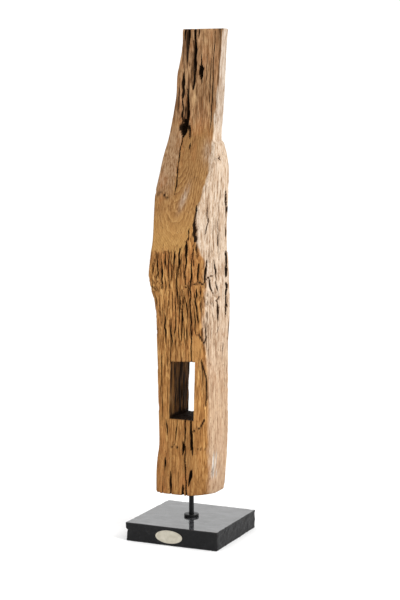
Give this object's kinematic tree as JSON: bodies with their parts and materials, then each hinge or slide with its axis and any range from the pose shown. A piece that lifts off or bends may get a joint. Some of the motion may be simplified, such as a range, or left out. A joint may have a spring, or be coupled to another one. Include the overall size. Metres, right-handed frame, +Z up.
{
  "type": "driftwood sculpture on a stand",
  "caption": "Tall weathered hewn timber, chopped through low down and scarfed to a thin tongue, standing on a steel rod over a square slab of black stone.",
  "frame": {"origin": "middle of the slab's underside, on the surface the sculpture stands on", "axes": "+Z up along the timber, -Y towards the side with the oval plate, +X towards the timber's pale rounded side"},
  "size_m": [0.2, 0.1999, 1.013],
  "materials": {
    "driftwood": "weathered bare timber, matt, furrowed and cracked along the grain",
    "stone_base": "black granite, polished on top and split rough at the sides",
    "support_rod": "satin black paint over steel",
    "rod_collar": "satin black paint over steel",
    "base_washer": "zinc plated steel",
    "base_nut": "zinc plated steel",
    "name_plate": "blank pale champagne metal, satin"
  },
  "bodies": {
    "root": {"driftwood": "driftwood", "stone_base": "stone_base", "support_rod": "support_rod", "rod_collar": "rod_collar", "base_washer": "base_washer", "base_nut": "base_nut", "name_plate": "name_plate"}
  },
  "joints": []
}
